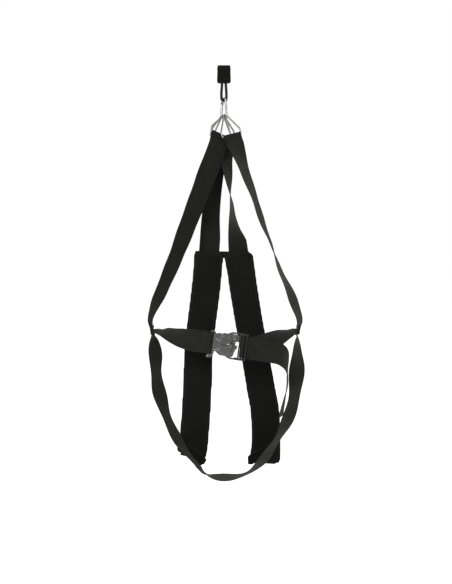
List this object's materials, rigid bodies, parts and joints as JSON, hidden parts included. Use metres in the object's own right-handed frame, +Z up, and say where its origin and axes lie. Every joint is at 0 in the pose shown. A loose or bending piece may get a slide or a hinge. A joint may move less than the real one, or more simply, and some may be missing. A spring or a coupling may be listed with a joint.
{
  "type": "suspension harness",
  "caption": "Hanging body harness of black webbing: padded back straps, a seat strap and a buckled belt, hung from triangle rings, a spring hook and a cord loop.",
  "frame": {"origin": "centre of the mouth of the rope socket, on top of the anchor block", "axes": "+Z up along the rope, +Y to the back of the harness, where the pads are, +X to the adjuster's side of the belt"},
  "size_m": [0.3707, 0.1716, 0.995],
  "materials": {
    "webbing": "tight flat-woven polyester webbing, slight sheen along its edges",
    "pad_cloth": "plain woven nylon over foam, matt",
    "foam": "closed-cell foam",
    "polished_steel": "bright plated steel wire",
    "spring_steel": "drawn steel",
    "cord": "braided cord",
    "moulded_black": "satin acetal moulding",
    "buckle_grey": "glossy grey acetal moulding"
  },
  "bodies": {
    "suspension": {"anchor_block": "moulded_black", "anchor_sleeve": "webbing", "cord_loop": "cord"},
    "hook": {"hook_body": "polished_steel", "gate_rivet": "polished_steel"},
    "gate": {"hook_gate": "polished_steel", "gate_plunger": "spring_steel", "gate_spring": "spring_steel"},
    "harness": {"front_left_riser": "webbing", "front_right_riser": "webbing", "rear_left_strap": "webbing", "rear_right_strap": "webbing", "left_pad_cover": "pad_cloth", "right_pad_cover": "pad_cloth", "left_pad_foam": "foam", "right_pad_foam": "foam", "left_pad_hem": "pad_cloth", "right_pad_hem": "pad_cloth", "pad_bridge": "webbing", "seat_strap": "webbing", "left_belt": "webbing", "right_belt": "webbing", "belt_tail": "webbing", "buckle_receptacle": "buckle_grey"},
    "front_left_ring": {"front_left_ring": "polished_steel"},
    "front_right_ring": {"front_right_ring": "polished_steel"},
    "rear_left_ring": {"rear_left_ring": "polished_steel"},
    "rear_right_ring": {"rear_right_ring": "polished_steel"},
    "buckle_insert": {"buckle_frame": "moulded_black", "adjuster_webbing": "webbing"},
    "upper_latch": {"upper_latch_arm": "moulded_black"},
    "lower_latch": {"lower_latch_arm": "moulded_black"}
  },
  "joints": [
    {"name": "hook_swing", "type": "hinge", "parent": "suspension", "child": "hook", "pos_m": [0, 0, -0.0775], "axis": [-0.5592, 0.829, 0], "range_deg": [-30, 30], "stiffness_Nm_per_rad": 0.5, "springref_deg": -24.93},
    {"name": "gate_opening", "type": "hinge", "parent": "hook", "child": "gate", "pos_m": [-0.00417, 0.00619, -0.0885], "axis": [-0.829, -0.5592, 0], "range_deg": [0, 24], "stiffness_Nm_per_rad": 0.02, "springref_deg": -20.05},
    {"name": "harness_swing", "type": "hinge", "parent": "hook", "child": "harness", "pos_m": [0, 0, -0.1225], "axis": [-0.5592, 0.829, 0], "range_deg": [-35, 35], "stiffness_Nm_per_rad": 0.5, "springref_deg": -24.89},
    {"name": "front_left_ring_swing", "type": "hinge", "parent": "hook", "child": "front_left_ring", "pos_m": [0, 0, -0.1225], "axis": [-0.5592, 0.829, 0], "range_deg": [-35, 35]},
    {"name": "front_right_ring_swing", "type": "hinge", "parent": "hook", "child": "front_right_ring", "pos_m": [0, 0, -0.1225], "axis": [-0.5592, 0.829, 0], "range_deg": [-35, 35]},
    {"name": "rear_left_ring_swing", "type": "hinge", "parent": "hook", "child": "rear_left_ring", "pos_m": [0, 0, -0.1225], "axis": [-0.5592, 0.829, 0], "range_deg": [-35, 35]},
    {"name": "rear_right_ring_swing", "type": "hinge", "parent": "hook", "child": "rear_right_ring", "pos_m": [0, 0, -0.1225], "axis": [-0.5592, 0.829, 0], "range_deg": [-35, 35]},
    {"name": "buckle_release", "type": "slide", "parent": "harness", "child": "buckle_insert", "axis": [0.9903, 0, -0.1392], "range_m": [0, 0.038], "deforming": ["right_belt", "belt_tail", "upper_latch_arm", "lower_latch_arm"]},
    {"name": "upper_latch_squeeze", "type": "hinge", "parent": "buckle_insert", "child": "upper_latch", "pos_m": [0.03383, -0.095, -0.63816], "axis": [0, -1, 0], "range_deg": [0, 10], "stiffness_Nm_per_rad": 0.5, "springref_deg": -1.15},
    {"name": "lower_latch_squeeze", "type": "hinge", "parent": "buckle_insert", "child": "lower_latch", "pos_m": [0.02578, -0.095, -0.6954], "axis": [0, 1, 0], "range_deg": [0, 10], "stiffness_Nm_per_rad": 0.5, "springref_deg": -1.15}
  ],
  "couplings": [
    {"joint": "front_left_ring_swing", "follows": "harness_swing", "ratio": 1},
    {"joint": "front_right_ring_swing", "follows": "harness_swing", "ratio": 1},
    {"joint": "rear_left_ring_swing", "follows": "harness_swing", "ratio": 1},
    {"joint": "rear_right_ring_swing", "follows": "harness_swing", "ratio": 1}
  ]
}
